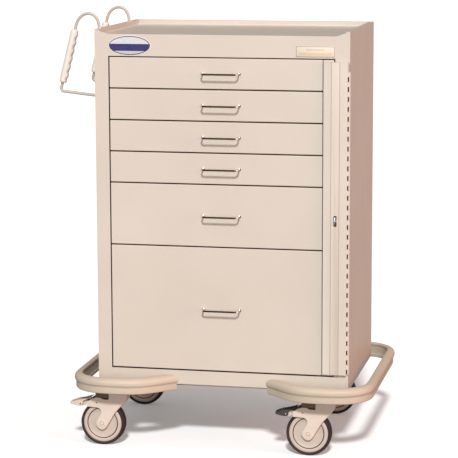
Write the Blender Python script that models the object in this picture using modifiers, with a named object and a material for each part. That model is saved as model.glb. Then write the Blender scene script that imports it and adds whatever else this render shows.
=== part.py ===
"""Crash cart: a six-drawer steel cabinet on a bumper base with four swivel casters,
two push-handle loops on its left side and a hinged lock bar down its right side.

Metres, +Z up, the drawers face -Y and +X is to their right. z = 0 is the floor.
"""

import math

import bmesh
import bpy
from mathutils import Matrix, Vector

MM = 0.001

# ---- driving dimensions, in millimetres --------------------------------------------
CENTRE_X = 18.62         # cabinet centre plane, so that the origin is mid-way overall
FRONT_Y = -216.0         # cabinet front face
HALF_W = 336.2           # half the cabinet's width
DEPTH = 432.0
SHEET = 2.0              # steel sheet, drawn a little thick
GAP = 0.3                # between touching parts

TOE_BOTTOM = 172.6
FIRST_LINE = 213.0       # lowest drawer line
PITCH = 82.55            # one drawer unit, 3.25 in
LINES = (10, 9, 8, 7, 6, 4, -0.022)   # drawer lines in units above FIRST_LINE
LINE_GAP = 3.0
HEADER_TOP = 1097.0
RIM_TOP = 1108.6
RIM_HEM = 12.0
TRAY_FLOOR = 1095.0
CHAMFER_IN = 36.0        # run of the sloping corner of the header

OPEN_L, OPEN_R = -299.5, 267.7    # drawer opening in the face frame
FRONT_T = 19.0           # drawer front thickness
FOLD = 1.5               # its sheet
PAN_L, PAN_R = -283.0, 252.4
PAN_Y0, PAN_Y1 = FRONT_T + GAP, 402.0
PAN_LIP = 8.0            # runner lip on each side of a drawer pan
PULL_SPAN, PULL_PROUD, PULL_R = 96.0, 27.0, 2.3

BAR_L, BAR_TOP, BAR_BOTTOM = 268.9, 1031.5, 218.0
PIN_X, PIN_Y, PIN_R = 336.3, -4.6, 1.2
SLOT_X, SLOT_Z, SLOT_W, SLOT_H = 301.2, 623.0, 8.0, 28.0

BUMPER_IN, BUMPER_OUT = 384.0, 401.0      # inner wall and lower band of the side rail
BEAD = 4.0                                # how far the bead stands out of the band
BUMPER_TOP, BEAD_BOTTOM, BAND_BOTTOM = 197.0, 176.0, 155.5

SWIVEL_X, SWIVEL_Y = 279.0, -4.0
TRAIL = 44.0
WHEEL_R, WHEEL_HALF = 60.0, 16.0
HUB_R = 52.0
FORK_IN, FORK_OUT = 17.6, 22.0
HEAD_R, HEAD_BOTTOM, HEAD_TOP = 25.0, 127.0, 151.5
PLATE_TOP = 158.0
PEDAL_X, PEDAL_Z = -104.6, 109.7          # pedal pivot from the swivel axis

HANDLE_Y = (35.0, 343.0)
ROD_R = 4.0

# ---- scene -------------------------------------------------------------------------
for old in list(bpy.data.objects):
    bpy.data.objects.remove(old, do_unlink=True)

parts = bpy.data.collections.new("crash_cart")
cutters = bpy.data.collections.new("cutters")
bpy.context.scene.collection.children.link(parts)
bpy.context.scene.collection.children.link(cutters)

COLOURS = {
    "steel_beige": ((0.71, 0.62, 0.52), 0.38, 0.0),
    "inner_grey": ((0.55, 0.52, 0.47), 0.5, 0.0),
    "plastic_beige": ((0.68, 0.59, 0.49), 0.45, 0.0),
    "grip_cream": ((0.78, 0.71, 0.60), 0.55, 0.0),
    "chrome": ((0.55, 0.56, 0.57), 0.15, 1.0),
    "dark_chrome": ((0.08, 0.07, 0.065), 0.25, 1.0),
    "zinc": ((0.62, 0.62, 0.60), 0.35, 1.0),
    "tyre": ((0.025, 0.02, 0.022), 0.75, 0.0),
    "black_plastic": ((0.03, 0.026, 0.028), 0.6, 0.0),
    "label": ((0.80, 0.74, 0.62), 0.5, 0.0),
}
materials = {}
for key, (colour, rough, metal) in COLOURS.items():
    mat = bpy.data.materials.new(key)
    mat.use_nodes = True
    shader = mat.node_tree.nodes["Principled BSDF"]
    shader.inputs["Base Color"].default_value = (*colour, 1.0)
    shader.inputs["Roughness"].default_value = rough
    shader.inputs["Metallic"].default_value = metal
    materials[key] = mat


def empty(name, at, parent=None):
    obj = bpy.data.objects.new(name, None)
    obj.empty_display_size = 0.05
    parts.objects.link(obj)
    obj.parent = parent
    obj.location = Vector(at) * MM
    return obj


cart = empty("cart_frame", (CENTRE_X, FRONT_Y, 0.0))


def place(obj, material, parent=None, at=(0, 0, 0), collection=None):
    (collection or parts).objects.link(obj)
    obj.parent = parent or cart
    obj.location = Vector(at) * MM
    if material:
        obj.data.materials.clear()
        obj.data.materials.append(materials[material])
    if collection is cutters:
        obj.hide_render = True
        obj.display_type = "WIRE"
    return obj


def new_mesh(name, bm):
    bmesh.ops.recalc_face_normals(bm, faces=bm.faces)
    mesh = bpy.data.meshes.new(name)
    bm.to_mesh(mesh)
    bm.free()
    return bpy.data.objects.new(name, mesh)


def box(name, low, high):
    """A box between two corners, given in millimetres."""
    bm = bmesh.new()
    bmesh.ops.create_cube(bm, size=1.0)
    size = [(h - l) * MM for l, h in zip(low, high)]
    mid = [(h + l) / 2 * MM for l, h in zip(low, high)]
    bmesh.ops.scale(bm, vec=size, verts=bm.verts)
    bmesh.ops.translate(bm, vec=mid, verts=bm.verts)
    return new_mesh(name, bm)


def cylinder(name, radius, low, high, axis="Z", sides=24, at=(0, 0, 0)):
    bm = bmesh.new()
    bmesh.ops.create_cone(bm, cap_ends=True, segments=sides, radius1=radius * MM,
                          radius2=radius * MM, depth=(high - low) * MM)
    bmesh.ops.translate(bm, vec=(0, 0, (high + low) / 2 * MM), verts=bm.verts)
    if axis == "Y":
        bmesh.ops.rotate(bm, matrix=Matrix.Rotation(math.radians(-90), 3, "X"), verts=bm.verts)
    bmesh.ops.translate(bm, vec=Vector(at) * MM, verts=bm.verts)
    return new_mesh(name, bm)


def solid_of(curve_obj, name):
    """The mesh of a curve object, with its loose caps welded."""
    bpy.context.scene.collection.objects.link(curve_obj)
    bpy.context.view_layer.update()
    graph = bpy.context.evaluated_depsgraph_get()
    mesh = bpy.data.meshes.new_from_object(curve_obj.evaluated_get(graph))
    world = curve_obj.matrix_world.copy()
    curve = curve_obj.data
    bpy.data.objects.remove(curve_obj, do_unlink=True)
    bpy.data.curves.remove(curve)
    bm = bmesh.new()
    bm.from_mesh(mesh)
    bpy.data.meshes.remove(mesh)
    bmesh.ops.remove_doubles(bm, verts=bm.verts, dist=0.000002)
    bmesh.ops.transform(bm, matrix=world, verts=bm.verts)
    return new_mesh(name, bm)


def outline(name, points, low, high, plane="XZ"):
    """A flat outline extruded to a thickness: XZ runs along Y, XY along Z and YZ along X."""
    bm = bmesh.new()
    rims = {"XZ": lambda a, b: (a, low, b), "XY": lambda a, b: (a, b, low), "YZ": lambda a, b: (low, a, b)}
    face = bm.faces.new([bm.verts.new(Vector(rims[plane](a, b)) * MM) for a, b in points])
    along = {"XZ": (0, 1, 0), "XY": (0, 0, 1), "YZ": (1, 0, 0)}[plane]
    grown = bmesh.ops.extrude_face_region(bm, geom=[face])["geom"]
    bmesh.ops.translate(bm, vec=Vector(along) * (high - low) * MM,
                        verts=[v for v in grown if isinstance(v, bmesh.types.BMVert)])
    return new_mesh(name, bm)


def bevel(obj, width, segments=2, angle=30):
    mod = obj.modifiers.new("rounded edges", "BEVEL")
    mod.width = width * MM
    mod.segments = segments
    mod.limit_method = "ANGLE"
    mod.angle_limit = math.radians(angle)
    return obj


def boolean(obj, other, operation="DIFFERENCE"):
    mod = obj.modifiers.new(operation.lower(), "BOOLEAN")
    mod.operation = operation
    mod.solver = "EXACT"
    mod.object = other
    return obj


def cutter(obj, parent=None, at=(0, 0, 0)):
    return place(obj, None, parent, at, cutters)


def turned(name, profile, at=(0, 0, 0), steps=36):
    """A closed profile of (radius, height) turned about Y. The outer side runs from +Y to -Y."""
    mesh = bpy.data.meshes.new(name)
    count = len(profile)
    mesh.from_pydata([(r * MM, 0.0, y * MM) for r, y in profile],
                     [(i, (i + 1) % count) for i in range(count)], [])
    obj = bpy.data.objects.new(name, mesh)
    obj.rotation_euler = (math.radians(-90), 0, 0)
    mod = obj.modifiers.new("turn", "SCREW")
    mod.steps = mod.render_steps = steps
    mod.use_merge_vertices = True
    mod.merge_threshold = 0.00001
    mod.use_smooth_shade = True
    return obj


def rod(name, points, radius, sides=2):
    curve = bpy.data.curves.new(name, "CURVE")
    curve.dimensions = "3D"
    curve.bevel_depth = radius * MM
    curve.bevel_resolution = sides
    curve.use_fill_caps = True
    spline = curve.splines.new("POLY")
    spline.points.add(len(points) - 1)
    for point, co in zip(spline.points, points):
        point.co = (*[c * MM for c in co], 1.0)
    return bpy.data.objects.new(name, curve)


def rounded(points, radii, steps=5):
    """An open path through points, each inner corner turned on its radius."""
    out = [Vector(points[0])]
    for before, corner, after, radius in zip(points, points[1:], points[2:], radii):
        before, corner, after = Vector(before), Vector(corner), Vector(after)
        u, v = (before - corner).normalized(), (after - corner).normalized()
        half = u.angle(v) / 2
        reach = radius / math.tan(half)
        middle = corner + (u + v).normalized() * (radius / math.sin(half))
        start, end = corner + u * reach - middle, corner + v * reach - middle
        sweep = start.angle(end)
        for i in range(steps + 1):
            t = i / steps
            out.append(middle + (start * math.sin((1 - t) * sweep) + end * math.sin(t * sweep)) / math.sin(sweep))
    out.append(Vector(points[-1]))
    return out


def arc(cx, cz, radius, start, end, steps):
    return [(cx + radius * math.cos(math.radians(start + (end - start) * i / steps)),
             cz + radius * math.sin(math.radians(start + (end - start) * i / steps)))
            for i in range(steps + 1)]


# ---- cabinet shell -----------------------------------------------------------------
# Face frame: both stiles, the header with its sloping corners, and the toe rail.
frame_outline = [
    (-HALF_W, TOE_BOTTOM), (HALF_W, TOE_BOTTOM), (HALF_W, RIM_TOP),
    (HALF_W - CHAMFER_IN, HEADER_TOP), (-HALF_W + CHAMFER_IN, HEADER_TOP), (-HALF_W, RIM_TOP),
]
face_frame = place(outline("face_frame", frame_outline, 0.0, SHEET), "steel_beige")
opening = cutter(box("cut_opening", (OPEN_L, -10, FIRST_LINE + LINES[-1] * PITCH - 1.5),
                     (OPEN_R, 10, FIRST_LINE + 10 * PITCH + 1.5)))
boolean(face_frame, opening)

# Side panels: a sheet whose top folds in as a hem with a short lip down to the tray.
for side, name in ((-1, "side_left"), (1, "side_right")):
    w, t = HALF_W, SHEET
    section = [(w, TOE_BOTTOM), (w, RIM_TOP), (w - RIM_HEM, RIM_TOP), (w - RIM_HEM, RIM_TOP - 30),
               (w - RIM_HEM + t, RIM_TOP - 30), (w - RIM_HEM + t, RIM_TOP - t), (w - t, RIM_TOP - t),
               (w - t, TOE_BOTTOM)]
    place(outline(name, [(side * a, b) for a, b in section], SHEET + GAP, DEPTH), "steel_beige")

# Back panel, with the same hem.
inner = HALF_W - SHEET - GAP
section = [(DEPTH, TOE_BOTTOM), (DEPTH, RIM_TOP - 30), (DEPTH, RIM_TOP), (DEPTH - RIM_HEM, RIM_TOP),
           (DEPTH - RIM_HEM, RIM_TOP - 30), (DEPTH - RIM_HEM + SHEET, RIM_TOP - 30),
           (DEPTH - RIM_HEM + SHEET, RIM_TOP - SHEET), (DEPTH - SHEET, RIM_TOP - SHEET),
           (DEPTH - SHEET, TOE_BOTTOM)]
back = place(outline("back_panel", section, -inner, inner, "YZ"), "steel_beige")
for side in (-1, 1):
    low, high = sorted((side * (HALF_W - RIM_HEM - GAP), side * (HALF_W + 5)))
    boolean(back, cutter(box(f"cut_back_{'l' if side < 0 else 'r'}", (low, DEPTH - 40, RIM_TOP - 32),
                             (high, DEPTH - SHEET - GAP, RIM_TOP + 5))))
    boolean(back, cutter(box(f"cut_hem_{'l' if side < 0 else 'r'}", (low, DEPTH - 41, RIM_TOP - 32),
                             (high, DEPTH + 5, RIM_TOP + 5))))

place(box("bottom_pan", (-inner, SHEET + GAP, TOE_BOTTOM + 0.4), (inner, DEPTH - SHEET - GAP, TOE_BOTTOM + 2.4)),
      "inner_grey")
tray_half = HALF_W - RIM_HEM - GAP
place(box("top_tray", (-tray_half, SHEET + GAP, TRAY_FLOOR - 2), (tray_half, DEPTH - RIM_HEM - GAP, TRAY_FLOOR)),
      "steel_beige")

# Runner racks: a sheet on each side with a pair of ledges for each drawer's lips.
def drawer_levels():
    return [(FIRST_LINE + n * PITCH + LINE_GAP / 2, FIRST_LINE + m * PITCH - LINE_GAP / 2)
            for m, n in zip(LINES, LINES[1:])]


def lip_height(low, high):
    return high - 14.0


RACK_LOW, RACK_HIGH = 185.0, 1062.0
for side, name, reach in ((-1, "runner_rack_left", PAN_L - 2.0), (1, "runner_rack_right", PAN_R + 2.0)):
    wall = side * (inner - GAP)
    face = wall - side * 2.0
    points = [(wall, RACK_LOW), (face, RACK_LOW)]
    for low, high in reversed(drawer_levels()):
        z = lip_height(low, high)
        points += [(face, z - 4.4), (reach, z - 4.4), (reach, z - 1.9), (face - side * 3, z - 1.9),
                   (face - side * 3, z + 1.9), (reach, z + 1.9), (reach, z + 4.4), (face, z + 4.4)]
    points += [(face, RACK_HIGH), (wall, RACK_HIGH)]
    place(outline(name, points, 24.0, 410.0), "zinc")

# ---- drawers -----------------------------------------------------------------------
pull_path = rounded([(-PULL_SPAN / 2, -GAP, 0), (-PULL_SPAN / 2, -PULL_PROUD, 0),
                     (PULL_SPAN / 2, -PULL_PROUD, 0), (PULL_SPAN / 2, -GAP, 0)], (9, 9), 5)
pull_mesh = None
for index, (low, high) in enumerate(drawer_levels(), 1):
    slide = empty(f"drawer_{index}_slide", (0, 0, (low + high) / 2), cart)
    tall = high - low
    front_l, front_r = OPEN_L + 2.5, OPEN_R - 1.7
    front = box(f"drawer_{index}_front", (front_l, 0.0, -tall / 2), (front_r, FRONT_T, tall / 2))
    bevel(place(front, "steel_beige", slide), 1.6, 2)
    # It is a folded sheet, hollow behind, with a flange all round that the pan is welded to.
    boolean(front, cutter(box(f"cut_front_{index}", (front_l + FOLD, FOLD, -tall / 2 + FOLD),
                              (front_r - FOLD, FRONT_T - FOLD, tall / 2 - FOLD)), slide))
    boolean(front, cutter(box(f"cut_window_{index}", (front_l + 24, FRONT_T - 5, -tall / 2 + 16),
                              (front_r - 24, FRONT_T + 5, tall / 2 - 26)), slide))
    # Pan: an open box of sheet with a runner lip folded out along each side.
    top = lip_height(low, high) - (low + high) / 2
    floor = -tall / 2 + 5.0
    bm = bmesh.new()
    bmesh.ops.create_cube(bm, size=1.0)
    bmesh.ops.delete(bm, geom=[f for f in bm.faces if f.normal.z > 0.5], context="FACES")
    bmesh.ops.scale(bm, vec=((PAN_R - PAN_L) * MM, (PAN_Y1 - PAN_Y0) * MM, (top - floor) * MM), verts=bm.verts)
    bmesh.ops.translate(bm, vec=((PAN_R + PAN_L) / 2 * MM, (PAN_Y1 + PAN_Y0) / 2 * MM, (top + floor) / 2 * MM),
                        verts=bm.verts)
    for edge in [e for e in bm.edges if e.is_boundary and abs((e.verts[0].co - e.verts[1].co).y) > 0.1]:
        out = bmesh.ops.extrude_edge_only(bm, edges=[edge])["geom"]
        shift = -PAN_LIP if edge.verts[0].co.x < 0 else PAN_LIP
        for vert in out:
            if isinstance(vert, bmesh.types.BMVert):
                vert.co.x += shift * MM
    pan = place(new_mesh(f"drawer_{index}_pan", bm), "inner_grey", slide)
    # The folded pan is an open surface at its outer faces, and the sheet grows inwards from it.
    sheet = pan.modifiers.new("sheet", "SOLIDIFY")
    sheet.thickness = 1.2 * MM
    sheet.offset = 1.0
    sheet.use_even_offset = True
    pull = rod(f"drawer_{index}_pull", pull_path, PULL_R)
    if pull_mesh is None:
        pull_mesh = pull.data
    else:
        spare = pull.data
        pull.data = pull_mesh
        bpy.data.curves.remove(spare)
    place(pull, "dark_chrome", slide)

# ---- lock bar on its piano hinge ---------------------------------------------------
hinge = empty("lock_bar_hinge", (PIN_X, PIN_Y, 0), cart)
WEB = 1.4
ROLL_OUT, ROLL_IN = 2.4, 1.5
left = BAR_L - PIN_X
rib_l, rib_r = 290.0 - PIN_X, 311.5 - PIN_X
outer_y = -5.6
bar_outline = [(left, 3.5), (left, outer_y), (rib_l - 1.5, outer_y), (rib_l, outer_y - 1.2),
               (rib_r, outer_y - 1.2), (rib_r + 1.5, outer_y), (-6.5, outer_y), (-4.2, -4.8), (-2.2, -2.75)]
bar_outline += arc(0, 0, ROLL_OUT, -90, 120, 12)
bar_outline += arc(0, 0, ROLL_IN, 120, -90, 10)
bar_outline += [(-2.8, -1.7), (-5.0, -3.75), (-6.9, outer_y + WEB), (rib_r + 2.0, outer_y + WEB),
                (rib_r + 0.5, outer_y - 1.2 + WEB), (rib_l - 0.5, outer_y - 1.2 + WEB), (rib_l - 2.0, outer_y + WEB),
                (left + WEB, outer_y + WEB), (left + WEB, 3.5)]
KNUCKLE = 12.7
lock_bar = outline("lock_bar", bar_outline, BAR_BOTTOM, BAR_TOP, "XY")
place(lock_bar, "steel_beige", hinge)
boolean(lock_bar, cutter(box("cut_slot", (SLOT_X - PIN_X - SLOT_W / 2, -15, SLOT_Z - SLOT_H / 2),
                             (SLOT_X - PIN_X + SLOT_W / 2, 0, SLOT_Z + SLOT_H / 2)), hinge))
for name, low, high in (("cut_knuckle_low", BAR_BOTTOM - 5, BAR_BOTTOM + KNUCKLE + GAP),
                        ("cut_knuckle_high", BAR_TOP - KNUCKLE - GAP, BAR_TOP + 5)):
    boolean(lock_bar, cutter(box(name, (-3.3, -8, low), (8, 8, high)), hinge))
place(cylinder("hinge_pin", PIN_R, BAR_BOTTOM, BAR_TOP, sides=12), "chrome", hinge)

# Fixed leaf: a strip on the frame with one rolled knuckle at each end of the pin.
leaf = [(-25.0, 2.9), (-25.0, 4.3), (0.4, 4.3), (2.3, 2.6)]
leaf += arc(0, 0, ROLL_OUT, 0, -230, 12)
leaf += arc(0, 0, ROLL_IN, -230, 20, 12)
leaf += [(0.6, 2.9)]
leaf_obj = place(outline("hinge_leaf", leaf, BAR_BOTTOM, BAR_TOP, "XY"), "steel_beige", hinge)
boolean(leaf_obj, cutter(box("cut_leaf", (-8, -8, BAR_BOTTOM + KNUCKLE), (8, 2.95, BAR_TOP - KNUCKLE)), hinge))

# Seal staple: an eye plate on the frame that stands through the bar's slot.
staple = outline("seal_staple", [(-GAP, -11), (-12.4, -11), (-15.4, -7), (-15.4, 7), (-12.4, 11), (-GAP, 11)],
                 -1.0, 1.0, "YZ")
place(staple, "zinc", cart, (SLOT_X, 0, SLOT_Z))
eye = rod("cut_eye", [(-5, -11.0, 0), (5, -11.0, 0)], 2.4)
boolean(staple, cutter(solid_of(eye, "cut_eye"), cart, (SLOT_X, -1.2, SLOT_Z)))

# ---- label plate ---------------------------------------------------------
place(box("label_plate", (196.6, -1.1, 1043.2), (297.0, -GAP, 1071.4)), "label")

# ---- push handles ------------------------------------------------------------------
grip_low, grip_high = Vector((-433.6, 0, 966.0)), Vector((-398.0, 0, 1105.0))
lean = (grip_high - grip_low).normalized()
for tag, y in zip(("front", "rear"), HANDLE_Y):
    base = [(-HALF_W - 0.9, 0, 932.0), (-441.6, 0, 943.5)]
    corner = rounded([base[0], base[1], tuple(grip_low)], (9,), 4)
    top = grip_high + lean * 12
    # The bend over the top: from the leaning leg round to a straight leg down on the rim.
    end = Vector((-332.4, 0, RIM_TOP + GAP))
    control_a, control_b = top + lean * 42, end + Vector((0, 0, 52))
    bend = []
    for i in range(15):
        t = i / 14
        bend.append(top * (1 - t) ** 3 + control_a * 3 * t * (1 - t) ** 2
                    + control_b * 3 * t * t * (1 - t) + end * t ** 3)
    path = [p + Vector((0, y, 0)) for p in corner[:-1] + [grip_low + lean * 4, grip_high - lean * 4] + bend]
    place(rod(f"push_rod_{tag}", path, ROD_R, 2), "steel_beige")
    # Grip: a moulded sleeve with finger waves on the side towards the cabinet.
    rings, around = 24, 12
    length = (grip_high - grip_low).length
    bm = bmesh.new()
    across = Vector((lean.z, 0, -lean.x))
    loops = []
    for i in range(rings + 1):
        t = i / rings
        ends = min(t, 1 - t) * length
        round_off = math.sqrt(max(0.0, 1 - max(0.0, 1 - ends / 7.0) ** 2)) * 0.45 + 0.55
        wave = 1.5 * math.cos(2 * math.pi * t * 6.0)
        centre = grip_low + (grip_high - grip_low) * t
        loop = []
        for j in range(around):
            a = 2 * math.pi * j / around
            c, s = math.cos(a), math.sin(a)
            half_x = (10.5 + (wave if c > 0 else 0) * max(c, 0)) * round_off
            p = centre + across * (c * half_x) + Vector((0, s * 12.0 * round_off, 0))
            loop.append(bm.verts.new((p + Vector((0, y, 0))) * MM))
        loops.append(loop)
    for lower, upper in zip(loops, loops[1:]):
        for j in range(around):
            bm.faces.new((lower[j], lower[(j + 1) % around], upper[(j + 1) % around], upper[j]))
    bm.faces.new(list(reversed(loops[0])))
    bm.faces.new(loops[-1])
    grip = place(new_mesh(f"grip_{tag}", bm), "grip_cream")
    bore = rod(f"cut_bore_{tag}", [tuple(grip_low - lean * 30 + Vector((0, y, 0))),
                                   tuple(grip_high + lean * 30 + Vector((0, y, 0)))], ROD_R + GAP, 2)
    boolean(grip, cutter(solid_of(bore, f"cut_bore_{tag}")))

# ---- bumpers -----------------------------------------------------------------------
# One moulded bar each side, from the front of the frame round the corner, along the
# side and back to the rear. Its section is (outward, up) from the bar's inner wall.
bar_t = BUMPER_OUT - BUMPER_IN
section = [(0, BAND_BOTTOM + 1), (1, BAND_BOTTOM), (bar_t - 2.5, BAND_BOTTOM), (bar_t, BAND_BOTTOM + 3),
           (bar_t, BEAD_BOTTOM - 1.5), (bar_t + BEAD - 1, BEAD_BOTTOM + 1.5), (bar_t + BEAD, BEAD_BOTTOM + 5),
           (bar_t + BEAD, BUMPER_TOP - 12), (bar_t + BEAD - 1.8, BUMPER_TOP - 7),
           (bar_t - 0.5, BUMPER_TOP - 3), (bar_t - 7, BUMPER_TOP - 0.5), (3.5, BUMPER_TOP), (0, BUMPER_TOP - 3)]
mid_y = DEPTH / 2
half = [(144.0, -0.4), (149.5, -1.8), (161.8, -12.7), (173.7, -24.7), (186.9, -36.5), (199.8, -46.6), (211.5, -53.8),
        (224.8, -59.0), (240.1, -62.1), (262.5, -63.5), (289.5, -63.5)]
corner = [(309.8, -62.1), (327.3, -58.7), (342.2, -52.9), (355.3, -44.3), (365.8, -33.8), (373.9, -21.1), (379.7, -7.2),
          (382.9, 9.9), (384.0, 32.3), (384.0, 60.0)]
front_half = half + corner
path = front_half + [(x, DEPTH - y) for x, y in reversed(front_half)]
for side, name in ((-1, "bumper_left"), (1, "bumper_right")):
    bm = bmesh.new()
    loops = []
    for i, (x, y) in enumerate(path):
        here = Vector((x, y))
        before = Vector(path[i - 1]) if i else here - Vector((1, -1)).normalized() * 0.0
        after = Vector(path[i + 1]) if i + 1 < len(path) else here
        tangents = []
        if i:
            tangents.append((here - Vector(path[i - 1])).normalized())
        if i + 1 < len(path):
            tangents.append((Vector(path[i + 1]) - here).normalized())
        if i == 0:
            normal, stretch = Vector((-1.0, 0.0)), 1.25       # the end lies flat against the cabinet
        elif i == len(path) - 1:
            normal, stretch = Vector((-1.0, 0.0)), 1.25
        else:
            run = (tangents[0] + tangents[1]).normalized()
            normal = Vector((run.y, -run.x))
            stretch = 1.0 / max(0.5, normal.dot(Vector((tangents[0].y, -tangents[0].x))))
        loop = []
        for out, up in section:
            p = here + normal * (out * stretch)
            loop.append(bm.verts.new((side * p.x * MM, p.y * MM, up * MM)))
        loops.append(loop)
    count = len(section)
    for a, b in zip(loops, loops[1:]):
        for j in range(count):
            bm.faces.new((a[j], a[(j + 1) % count], b[(j + 1) % count], b[j]))
    bm.faces.new(loops[0])
    bm.faces.new(list(reversed(loops[-1])))
    place(new_mesh(name, bm), "plastic_beige")

# ---- chassis under the cabinet -----------------------------------------------------
quarter = [(0, 46), (104, 46), (104, 0.0), (132, 0.0), (132, 46), (244, 46), (244, -36), (314, -36), (314, 46)]
front_edge = [(-x, y) for x, y in reversed(quarter)] + quarter[1:]
base_outline = front_edge + [(x, DEPTH - y) for x, y in reversed(front_edge)]
chassis = place(outline("chassis", base_outline, PLATE_TOP + GAP, TOE_BOTTOM - GAP, "XY"), "steel_beige")
boolean(chassis, cutter(box("cut_chassis", (-236, 96, 150), (236, DEPTH - 96, 180))))
# Its rails are channels, open at the top.
for name, low, high in (("cut_rail_l", (-311.5, -33.5), (-238.5, DEPTH + 33.5)), ("cut_rail_r", (238.5, -33.5), (311.5, DEPTH + 33.5)),
                        ("cut_rail_f", (-238.6, 48.5), (238.6, 93.5)), ("cut_rail_b", (-238.6, DEPTH - 93.5), (238.6, DEPTH - 48.5))):
    boolean(chassis, cutter(box(name, (*low, PLATE_TOP + 4), (*high, TOE_BOTTOM + 4))))

# ---- casters -----------------------------------------------------------------------
leg = [(25, HEAD_TOP), (25, 129), (18.5, 119), (5, 104.5), (-8, 90), (-15, 78), (-25.5, 60),
       (-32, 49), (-38, 43.4), (-44, 41.6), (-51, 43.2), (-58, 49), (-62, 57), (-61, 65),
       (-54.7, 75), (-48, 87), (-47.5, 94), (-51, 100), (-57, 102.4)]
brake_arm = [(-92, 104), (-104, 103.4), (-109.5, 106), (-110.6, 110), (-108, 114), (-92, 117.6), (-79, 121.5),
             (-74, 127)]
plain_end = [(-74, 104), (-84, 108), (-88, 115), (-82, 123), (-70, 129)]
top_run = [(-60, 131.5), (-48, 131.5), (-40, HEAD_BOTTOM), (-25, HEAD_BOTTOM), (-25, HEAD_TOP)]
tyre_section = [(52.3, 13.0), (57.0, 15.6), (60.0, 9.0), (60.0, -9.0), (57.0, -15.6), (52.3, -13.0)]
hub_section = [(5.4, 15.0), (49.6, 15.0), (52.0, 12.6), (52.0, -12.6), (49.6, -15.0), (5.4, -15.0)]
pedal_outline = [(-28.0, 3.6), (-26.6, -1.6), (-20.0, -3.4), (-7.0, -5.6), (-3.0, -6.2), (2.5, -6.0), (6.0, -2.0),
                 (6.6, 3.0), (8.0, 8.6), (25.0, 15.5), (29.6, 20.6), (8.0, 13.8), (-10.0, 10.4)]

for tag, sx, sy in (("fl", -1, 0), ("fr", 1, 0), ("rl", -1, 1), ("rr", 1, 1)):
    x = sx * SWIVEL_X
    y = SWIVEL_Y if sy == 0 else DEPTH - SWIVEL_Y
    braked = sy == 0
    swivel = empty(f"caster_{tag}_swivel", (x, y, 0), cart)
    wheel = empty(f"caster_{tag}_wheel", (-TRAIL, 0, WHEEL_R), swivel)
    shape = leg + (brake_arm if braked else plain_end) + top_run
    fork = place(outline(f"caster_{tag}_fork", shape, -FORK_OUT, FORK_OUT), "plastic_beige", swivel)
    bevel(fork, 2.0, 1, 40)
    # Room for the wheel between the cheeks.
    boolean(fork, cutter(cylinder(f"cut_{tag}_well", WHEEL_R + 5.5, -FORK_IN, FORK_IN, "Y", 40,
                                  (-TRAIL, 0, WHEEL_R)), swivel))
    boolean(fork, cutter(box(f"cut_{tag}_under", (-TRAIL - 70, -FORK_IN, 0), (40, FORK_IN, 96)), swivel))
    boolean(fork, cutter(cylinder(f"cut_{tag}_axle", 5.3, -40, 40, "Y", 20, (-TRAIL, 0, WHEEL_R)), swivel))
    boolean(fork, cutter(cylinder(f"cut_{tag}_kingpin", 6.3, 134.7, 170, "Z", 20), swivel))
    if braked:
        # The arm's nose is narrower, so that the pedal's cheeks straddle it.
        for s in (-1, 1):
            low, high = sorted((s * 8.0, s * 30.0))
            boolean(fork, cutter(box(f"cut_{tag}_nose_{'a' if s < 0 else 'b'}", (-130, low, 90), (-84, high, 140)),
                                 swivel))
    # Mount plate with its kingpin, fixed to the chassis.
    mount = cylinder(f"caster_{tag}_mount", 30.0, HEAD_TOP + 0.4, PLATE_TOP, "Z", 28)
    place(mount, "zinc", cart, (x, y, 0))
    boolean(mount, cutter(cylinder(f"cut_{tag}_pin", 6.0, 135.0, 156.0, "Z", 20), cart, (x, y, 0)), "UNION")
    place(cylinder(f"caster_{tag}_axle", 5.0, -FORK_OUT - 1.5, FORK_OUT + 1.5, "Y", 20), "zinc", swivel,
          (-TRAIL, 0, WHEEL_R))
    place(turned(f"caster_{tag}_tyre", tyre_section), "tyre", wheel)
    place(turned(f"caster_{tag}_hub", hub_section), "plastic_beige", wheel)
    if braked:
        pivot = empty(f"caster_{tag}_pedal_pivot", (PEDAL_X, 0, PEDAL_Z), swivel)
        pedal = place(outline(f"pedal_{tag}", pedal_outline, -15.0, 15.0),
                      "plastic_beige" if sx < 0 else "black_plastic", pivot)
        boolean(pedal, cutter(box(f"cut_{tag}_straddle", (-9, -8.6, -12), (14, 8.6, 7.6)), pivot))
        # Room above the arm, which is full width behind the nose.
        boolean(pedal, cutter(box(f"cut_{tag}_tail", (19.8, -20, -12), (40, 20, 10.0)), pivot))

for obj in parts.objects:
    if obj.type == "MESH":
        obj.data.shade_smooth()
        obj.data.set_sharp_from_angle(angle=math.radians(32))
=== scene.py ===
"""Looks of the crash cart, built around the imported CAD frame.

Pieces are drawn in the cabinet's own millimetres (x = 0 on its centre plane, y = 0 on its
front face, z = 0 on the floor) and then put where the CAD's face frame is.
"""
import math

import bmesh
import bpy
from mathutils import Matrix, Vector


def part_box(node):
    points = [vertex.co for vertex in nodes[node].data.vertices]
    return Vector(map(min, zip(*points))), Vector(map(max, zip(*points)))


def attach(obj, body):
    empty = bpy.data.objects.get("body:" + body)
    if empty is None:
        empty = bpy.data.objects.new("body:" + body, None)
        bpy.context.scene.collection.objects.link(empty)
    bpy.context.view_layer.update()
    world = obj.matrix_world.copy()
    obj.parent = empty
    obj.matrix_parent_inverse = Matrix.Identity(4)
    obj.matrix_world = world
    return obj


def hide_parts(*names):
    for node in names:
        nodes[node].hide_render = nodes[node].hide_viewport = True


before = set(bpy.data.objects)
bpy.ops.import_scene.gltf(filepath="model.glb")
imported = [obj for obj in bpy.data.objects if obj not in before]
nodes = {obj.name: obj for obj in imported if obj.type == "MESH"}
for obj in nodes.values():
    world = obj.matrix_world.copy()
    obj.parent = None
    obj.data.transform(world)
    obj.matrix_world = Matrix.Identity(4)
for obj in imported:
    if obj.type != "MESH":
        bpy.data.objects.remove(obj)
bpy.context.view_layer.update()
scene = bpy.context.scene

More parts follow.
